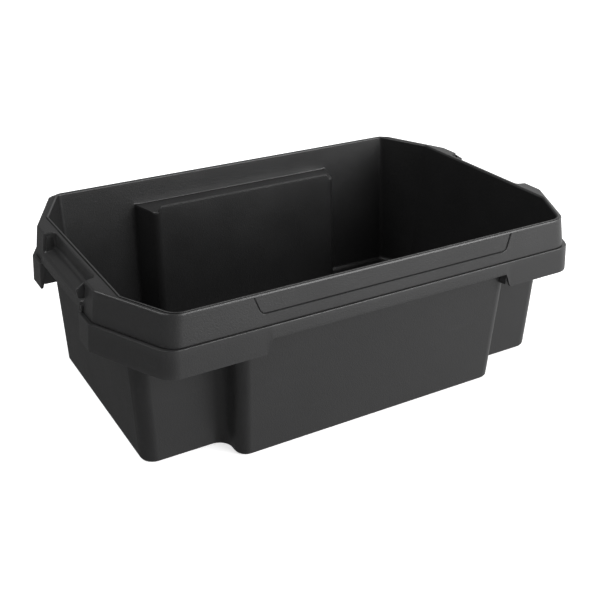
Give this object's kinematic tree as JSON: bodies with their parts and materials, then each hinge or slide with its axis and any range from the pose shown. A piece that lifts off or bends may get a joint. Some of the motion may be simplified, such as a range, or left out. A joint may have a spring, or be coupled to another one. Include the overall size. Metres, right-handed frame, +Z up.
{
  "type": "stacking plastic crate",
  "caption": "Open-top rectangular storage crate with chamfered corners, end hand grips and stacking ledges; a second crate turned half round stands on it.",
  "frame": {"origin": "on the ground, under the middle of the crate's footprint", "axes": "+X along the long side, -Y the front with the outward bulge, +Z up"},
  "size_m": [0.6046, 0.387, 0.2],
  "materials": {
    "body_plastic": "black polypropylene with a fine even moulded grain",
    "rim_plastic": "black polypropylene with a fine grain, edges slightly burnished",
    "grip_plastic": "black polypropylene, a little smoother where hands hold it",
    "base_plastic": "black polypropylene, scuffed on the faces that slide on the ground"
  },
  "bodies": {
    "root": {"band_corner_front_left": "rim_plastic", "band_corner_front_right": "rim_plastic", "band_corner_rear_left": "rim_plastic", "band_corner_rear_right": "rim_plastic", "band_front": "rim_plastic", "band_rear": "rim_plastic", "base_rib_left": "base_plastic", "base_rib_middle": "base_plastic", "base_rib_right": "base_plastic", "end_wall_left": "body_plastic", "end_wall_right": "body_plastic", "floor_panel": "base_plastic", "front_bulge_side_left": "body_plastic", "front_bulge_side_right": "body_plastic", "front_bulge_wall": "body_plastic", "front_column_wall_left": "body_plastic", "front_column_wall_right": "body_plastic", "front_corner_seat_left": "body_plastic", "front_corner_seat_right": "body_plastic", "grip_back_left": "grip_plastic", "grip_back_right": "grip_plastic", "grip_bar_left": "grip_plastic", "grip_bar_right": "grip_plastic", "grip_floor_left": "grip_plastic", "grip_floor_right": "grip_plastic", "grip_rib_front_left": "grip_plastic", "grip_rib_front_right": "grip_plastic", "grip_rib_rear_left": "grip_plastic", "grip_rib_rear_right": "grip_plastic", "rear_bay_face": "body_plastic", "rear_bay_side_left": "body_plastic", "rear_bay_side_right": "body_plastic", "rear_channel_floor": "body_plastic", "rear_channel_lip": "body_plastic", "rear_corner_wall_left": "body_plastic", "rear_corner_wall_right": "body_plastic", "rear_wall_left": "body_plastic", "rear_wall_right": "body_plastic", "rim_corner_front_left": "rim_plastic", "rim_corner_front_right": "rim_plastic", "rim_corner_rear_left": "rim_plastic", "rim_corner_rear_right": "rim_plastic", "rim_top_front_left": "rim_plastic", "rim_top_front_right": "rim_plastic", "rim_top_rear_left": "rim_plastic", "rim_top_rear_right": "rim_plastic", "rim_wall_end_left": "rim_plastic", "rim_wall_end_right": "rim_plastic", "rim_wall_front": "rim_plastic", "rim_wall_rear": "rim_plastic", "skirt_corner_front_left": "rim_plastic", "skirt_corner_front_right": "rim_plastic", "skirt_corner_rear_left": "rim_plastic", "skirt_corner_rear_right": "rim_plastic", "skirt_front": "rim_plastic", "skirt_rear": "rim_plastic", "skirt_rib_front_left": "rim_plastic", "skirt_rib_front_right": "rim_plastic", "skirt_rib_rear_left": "rim_plastic", "skirt_rib_rear_right": "rim_plastic"}
  },
  "joints": []
}
